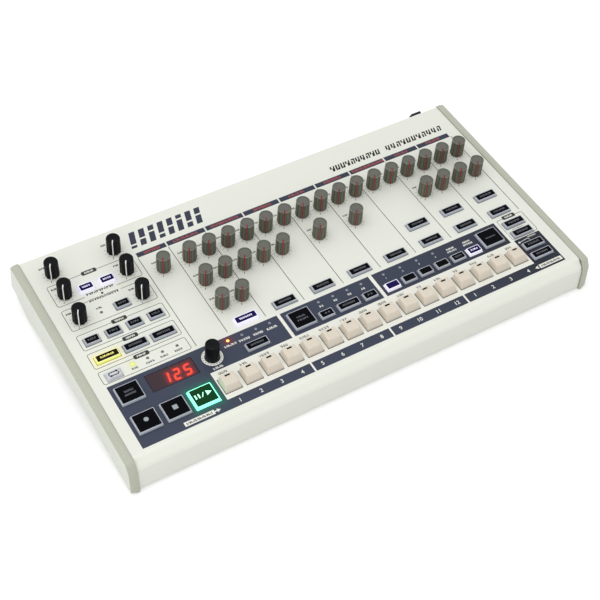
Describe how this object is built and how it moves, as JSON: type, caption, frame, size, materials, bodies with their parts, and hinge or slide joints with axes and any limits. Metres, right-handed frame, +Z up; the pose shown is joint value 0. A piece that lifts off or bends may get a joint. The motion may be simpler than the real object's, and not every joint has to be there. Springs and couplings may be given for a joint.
{
  "type": "drum machine",
  "caption": "Low desktop drum machine: sloped sheet-metal panel between moulded end cheeks, rows of rotary knobs, backlit buttons, a row of step keys and rear sockets.",
  "frame": {"origin": "on the surface the feet stand on, under the middle of the case's outline", "axes": "+X to the player's right along the width, +Y from the player to the rear sockets, +Z up"},
  "size_m": [0.493, 0.2626, 0.0671],
  "materials": {
    "panel_paint": "satin warm white",
    "pan_paint": "matt dark grey",
    "cheek_plastic": "fine-grained grey-green moulding",
    "board": "solder-masked board",
    "pot_metal": "pressed steel",
    "window": "smoked red lens",
    "led_lens": "milky lens",
    "socket_black": "black moulding",
    "socket_metal": "plated shell",
    "black_plastic": "fine-grained black",
    "foot_rubber": "matt rubber",
    "steel": "zinc plated",
    "knob_grey": "olive-grey satin",
    "knob_black": "black satin",
    "key_beige": "warm beige satin",
    "button_grey": "translucent grey skirt under a black cap"
  },
  "bodies": {
    "chassis": {"top_panel": "panel_paint", "bottom_pan": "pan_paint", "left_cheek": "cheek_plastic", "right_cheek": "cheek_plastic", "circuit_boards": "board", "potentiometers": "pot_metal", "display_window": "window", "leds": "led_lens", "audio_jacks": "socket_black", "midi_sockets": "socket_black", "power_usb_sockets": "socket_metal", "cable_hook": "black_plastic", "feet": "foot_rubber", "screws": "steel"},
    "upper_knob_1": {"upper_knob_1": "knob_grey"},
    "upper_knob_2": {"upper_knob_2": "knob_grey"},
    "upper_knob_3": {"upper_knob_3": "knob_grey"},
    "upper_knob_4": {"upper_knob_4": "knob_grey"},
    "upper_knob_5": {"upper_knob_5": "knob_grey"},
    "upper_knob_6": {"upper_knob_6": "knob_grey"},
    "upper_knob_7": {"upper_knob_7": "knob_grey"},
    "upper_knob_8": {"upper_knob_8": "knob_grey"},
    "upper_knob_9": {"upper_knob_9": "knob_grey"},
    "upper_knob_10": {"upper_knob_10": "knob_grey"},
    "upper_knob_11": {"upper_knob_11": "knob_grey"},
    "upper_knob_12": {"upper_knob_12": "knob_grey"},
    "upper_knob_13": {"upper_knob_13": "knob_grey"},
    "upper_knob_14": {"upper_knob_14": "knob_grey"},
    "upper_knob_15": {"upper_knob_15": "knob_grey"},
    "upper_knob_16": {"upper_knob_16": "knob_grey"},
    "middle_knob_1": {"middle_knob_1": "knob_grey"},
    "middle_knob_2": {"middle_knob_2": "knob_grey"},
    "middle_knob_3": {"middle_knob_3": "knob_grey"},
    "middle_knob_4": {"middle_knob_4": "knob_grey"},
    "middle_knob_5": {"middle_knob_5": "knob_grey"},
    "middle_knob_6": {"middle_knob_6": "knob_grey"},
    "middle_knob_7": {"middle_knob_7": "knob_grey"},
    "middle_knob_8": {"middle_knob_8": "knob_grey"},
    "middle_knob_9": {"middle_knob_9": "knob_grey"},
    "middle_knob_10": {"middle_knob_10": "knob_grey"},
    "middle_knob_11": {"middle_knob_11": "knob_grey"},
    "lower_knob_1": {"lower_knob_1": "knob_grey"},
    "lower_knob_2": {"lower_knob_2": "knob_grey"},
    "accent_knob": {"accent_knob": "knob_grey"},
    "master_knob_1": {"master_knob_1": "knob_black"},
    "master_knob_2": {"master_knob_2": "knob_black"},
    "master_knob_3": {"master_knob_3": "knob_black"},
    "master_knob_4": {"master_knob_4": "knob_black"},
    "master_knob_5": {"master_knob_5": "knob_black"},
    "master_knob_6": {"master_knob_6": "knob_black"},
    "tempo_encoder": {"tempo_encoder": "knob_black"},
    "step_keys_1_4": {"step_keys_1_4": "key_beige"},
    "step_keys_5_8": {"step_keys_5_8": "key_beige"},
    "step_keys_9_12": {"step_keys_9_12": "key_beige"},
    "step_keys_13_16": {"step_keys_13_16": "key_beige"},
    "transport_buttons": {"transport_buttons": "button_grey"},
    "voice_buttons": {"voice_buttons": "button_grey"},
    "left_buttons": {"left_buttons": "button_grey"},
    "function_buttons": {"function_buttons": "button_grey"},
    "power_switch": {"power_switch": "black_plastic"}
  },
  "joints": [
    {"name": "upper_knob_1_turn", "type": "hinge", "parent": "chassis", "child": "upper_knob_1", "pos_m": [-0.0935, 0.05354, 0.04579], "axis": [0, 0.0523, -0.9986], "range_deg": [0, 302]},
    {"name": "upper_knob_2_turn", "type": "hinge", "parent": "chassis", "child": "upper_knob_2", "pos_m": [-0.07288, 0.05354, 0.04579], "axis": [0, 0.0523, -0.9986], "range_deg": [0, 302]},
    {"name": "upper_knob_3_turn", "type": "hinge", "parent": "chassis", "child": "upper_knob_3", "pos_m": [-0.05226, 0.05354, 0.04579], "axis": [0, 0.0523, -0.9986], "range_deg": [0, 302]},
    {"name": "upper_knob_4_turn", "type": "hinge", "parent": "chassis", "child": "upper_knob_4", "pos_m": [-0.03164, 0.05354, 0.04579], "axis": [0, 0.0523, -0.9986], "range_deg": [0, 302]},
    {"name": "upper_knob_5_turn", "type": "hinge", "parent": "chassis", "child": "upper_knob_5", "pos_m": [-0.01102, 0.05354, 0.04579], "axis": [0, 0.0523, -0.9986], "range_deg": [0, 302]},
    {"name": "upper_knob_6_turn", "type": "hinge", "parent": "chassis", "child": "upper_knob_6", "pos_m": [0.0096, 0.05354, 0.04579], "axis": [0, 0.0523, -0.9986], "range_deg": [0, 302]},
    {"name": "upper_knob_7_turn", "type": "hinge", "parent": "chassis", "child": "upper_knob_7", "pos_m": [0.03022, 0.05354, 0.04579], "axis": [0, 0.0523, -0.9986], "range_deg": [0, 302]},
    {"name": "upper_knob_8_turn", "type": "hinge", "parent": "chassis", "child": "upper_knob_8", "pos_m": [0.05084, 0.05354, 0.04579], "axis": [0, 0.0523, -0.9986], "range_deg": [0, 302]},
    {"name": "upper_knob_9_turn", "type": "hinge", "parent": "chassis", "child": "upper_knob_9", "pos_m": [0.07146, 0.05354, 0.04579], "axis": [0, 0.0523, -0.9986], "range_deg": [0, 302]},
    {"name": "upper_knob_10_turn", "type": "hinge", "parent": "chassis", "child": "upper_knob_10", "pos_m": [0.09208, 0.05354, 0.04579], "axis": [0, 0.0523, -0.9986], "range_deg": [0, 302]},
    {"name": "upper_knob_11_turn", "type": "hinge", "parent": "chassis", "child": "upper_knob_11", "pos_m": [0.1127, 0.05354, 0.04579], "axis": [0, 0.0523, -0.9986], "range_deg": [0, 302]},
    {"name": "upper_knob_12_turn", "type": "hinge", "parent": "chassis", "child": "upper_knob_12", "pos_m": [0.13332, 0.05354, 0.04579], "axis": [0, 0.0523, -0.9986], "range_deg": [0, 302]},
    {"name": "upper_knob_13_turn", "type": "hinge", "parent": "chassis", "child": "upper_knob_13", "pos_m": [0.15394, 0.05354, 0.04579], "axis": [0, 0.0523, -0.9986], "range_deg": [0, 302]},
    {"name": "upper_knob_14_turn", "type": "hinge", "parent": "chassis", "child": "upper_knob_14", "pos_m": [0.17456, 0.05354, 0.04579], "axis": [0, 0.0523, -0.9986], "range_deg": [0, 302]},
    {"name": "upper_knob_15_turn", "type": "hinge", "parent": "chassis", "child": "upper_knob_15", "pos_m": [0.19518, 0.05354, 0.04579], "axis": [0, 0.0523, -0.9986], "range_deg": [0, 302]},
    {"name": "upper_knob_16_turn", "type": "hinge", "parent": "chassis", "child": "upper_knob_16", "pos_m": [0.2158, 0.05354, 0.04579], "axis": [0, 0.0523, -0.9986], "range_deg": [0, 302]},
    {"name": "middle_knob_1_turn", "type": "hinge", "parent": "chassis", "child": "middle_knob_1", "pos_m": [-0.0935, 0.02129, 0.0441], "axis": [0, 0.0523, -0.9986], "range_deg": [0, 302]},
    {"name": "middle_knob_2_turn", "type": "hinge", "parent": "chassis", "child": "middle_knob_2", "pos_m": [-0.07288, 0.02129, 0.0441], "axis": [0, 0.0523, -0.9986], "range_deg": [0, 302]},
    {"name": "middle_knob_3_turn", "type": "hinge", "parent": "chassis", "child": "middle_knob_3", "pos_m": [-0.05226, 0.02129, 0.0441], "axis": [0, 0.0523, -0.9986], "range_deg": [0, 302]},
    {"name": "middle_knob_4_turn", "type": "hinge", "parent": "chassis", "child": "middle_knob_4", "pos_m": [-0.03164, 0.02129, 0.0441], "axis": [0, 0.0523, -0.9986], "range_deg": [0, 302]},
    {"name": "middle_knob_5_turn", "type": "hinge", "parent": "chassis", "child": "middle_knob_5", "pos_m": [-0.01102, 0.02129, 0.0441], "axis": [0, 0.0523, -0.9986], "range_deg": [0, 302]},
    {"name": "middle_knob_6_turn", "type": "hinge", "parent": "chassis", "child": "middle_knob_6", "pos_m": [0.03022, 0.02129, 0.0441], "axis": [0, 0.0523, -0.9986], "range_deg": [0, 302]},
    {"name": "middle_knob_7_turn", "type": "hinge", "parent": "chassis", "child": "middle_knob_7", "pos_m": [0.07146, 0.02129, 0.0441], "axis": [0, 0.0523, -0.9986], "range_deg": [0, 302]},
    {"name": "middle_knob_8_turn", "type": "hinge", "parent": "chassis", "child": "middle_knob_8", "pos_m": [0.15394, 0.02129, 0.0441], "axis": [0, 0.0523, -0.9986], "range_deg": [0, 302]},
    {"name": "middle_knob_9_turn", "type": "hinge", "parent": "chassis", "child": "middle_knob_9", "pos_m": [0.17456, 0.02129, 0.0441], "axis": [0, 0.0523, -0.9986], "range_deg": [0, 302]},
    {"name": "middle_knob_10_turn", "type": "hinge", "parent": "chassis", "child": "middle_knob_10", "pos_m": [0.19518, 0.02129, 0.0441], "axis": [0, 0.0523, -0.9986], "range_deg": [0, 302]},
    {"name": "middle_knob_11_turn", "type": "hinge", "parent": "chassis", "child": "middle_knob_11", "pos_m": [0.2158, 0.02129, 0.0441], "axis": [0, 0.0523, -0.9986], "range_deg": [0, 302]},
    {"name": "lower_knob_1_turn", "type": "hinge", "parent": "chassis", "child": "lower_knob_1", "pos_m": [-0.0935, -0.01087, 0.04241], "axis": [0, 0.0523, -0.9986], "range_deg": [0, 302]},
    {"name": "lower_knob_2_turn", "type": "hinge", "parent": "chassis", "child": "lower_knob_2", "pos_m": [-0.07288, -0.01087, 0.04241], "axis": [0, 0.0523, -0.9986], "range_deg": [0, 302]},
    {"name": "accent_knob_turn", "type": "hinge", "parent": "chassis", "child": "accent_knob", "pos_m": [-0.1209, 0.05354, 0.04579], "axis": [0, 0.0523, -0.9986], "range_deg": [0, 302]},
    {"name": "master_knob_1_turn", "type": "hinge", "parent": "chassis", "child": "master_knob_1", "pos_m": [-0.215, 0.09549, 0.04798], "axis": [0, 0.0523, -0.9986], "range_deg": [0, 302]},
    {"name": "master_knob_2_turn", "type": "hinge", "parent": "chassis", "child": "master_knob_2", "pos_m": [-0.1523, 0.09549, 0.04798], "axis": [0, 0.0523, -0.9986], "range_deg": [0, 302]},
    {"name": "master_knob_3_turn", "type": "hinge", "parent": "chassis", "child": "master_knob_3", "pos_m": [-0.215, 0.06692, 0.04649], "axis": [0, 0.0523, -0.9986], "range_deg": [0, 302]},
    {"name": "master_knob_4_turn", "type": "hinge", "parent": "chassis", "child": "master_knob_4", "pos_m": [-0.1523, 0.06692, 0.04649], "axis": [0, 0.0523, -0.9986], "range_deg": [0, 302]},
    {"name": "master_knob_5_turn", "type": "hinge", "parent": "chassis", "child": "master_knob_5", "pos_m": [-0.215, 0.03397, 0.04476], "axis": [0, 0.0523, -0.9986], "range_deg": [0, 302]},
    {"name": "master_knob_6_turn", "type": "hinge", "parent": "chassis", "child": "master_knob_6", "pos_m": [-0.1523, 0.03397, 0.04476], "axis": [0, 0.0523, -0.9986], "range_deg": [0, 302]},
    {"name": "tempo_encoder_turn", "type": "hinge", "parent": "chassis", "child": "tempo_encoder", "pos_m": [-0.1297, -0.0595, 0.03986], "axis": [0, 0.0523, -0.9986], "continuous": true},
    {"name": "step_keys_1_4_press", "type": "slide", "parent": "chassis", "child": "step_keys_1_4", "axis": [0, 0.0523, -0.9986], "range_m": [0, 0.0015], "stiffness_N_per_m": 800, "springref_m": -0.0008},
    {"name": "step_keys_5_8_press", "type": "slide", "parent": "chassis", "child": "step_keys_5_8", "axis": [0, 0.0523, -0.9986], "range_m": [0, 0.0015], "stiffness_N_per_m": 800, "springref_m": -0.0008},
    {"name": "step_keys_9_12_press", "type": "slide", "parent": "chassis", "child": "step_keys_9_12", "axis": [0, 0.0523, -0.9986], "range_m": [0, 0.0015], "stiffness_N_per_m": 800, "springref_m": -0.0008},
    {"name": "step_keys_13_16_press", "type": "slide", "parent": "chassis", "child": "step_keys_13_16", "axis": [0, 0.0523, -0.9986], "range_m": [0, 0.0015], "stiffness_N_per_m": 800, "springref_m": -0.0008},
    {"name": "transport_buttons_press", "type": "slide", "parent": "chassis", "child": "transport_buttons", "axis": [0, 0.0523, -0.9986], "range_m": [0, 0.0005], "stiffness_N_per_m": 2000, "springref_m": -0.0005},
    {"name": "voice_buttons_press", "type": "slide", "parent": "chassis", "child": "voice_buttons", "axis": [0, 0.0523, -0.9986], "range_m": [0, 0.0005], "stiffness_N_per_m": 2000, "springref_m": -0.0005},
    {"name": "left_buttons_press", "type": "slide", "parent": "chassis", "child": "left_buttons", "axis": [0, 0.0523, -0.9986], "range_m": [0, 0.0005], "stiffness_N_per_m": 2000, "springref_m": -0.0005},
    {"name": "function_buttons_press", "type": "slide", "parent": "chassis", "child": "function_buttons", "axis": [0, 0.0523, -0.9986], "range_m": [0, 0.0005], "stiffness_N_per_m": 2000, "springref_m": -0.0005},
    {"name": "power_switch_rock", "type": "hinge", "parent": "chassis", "child": "power_switch", "pos_m": [0.1675, 0.1172, 0.027], "axis": [1, 0, 0], "range_deg": [0, 16]}
  ]
}
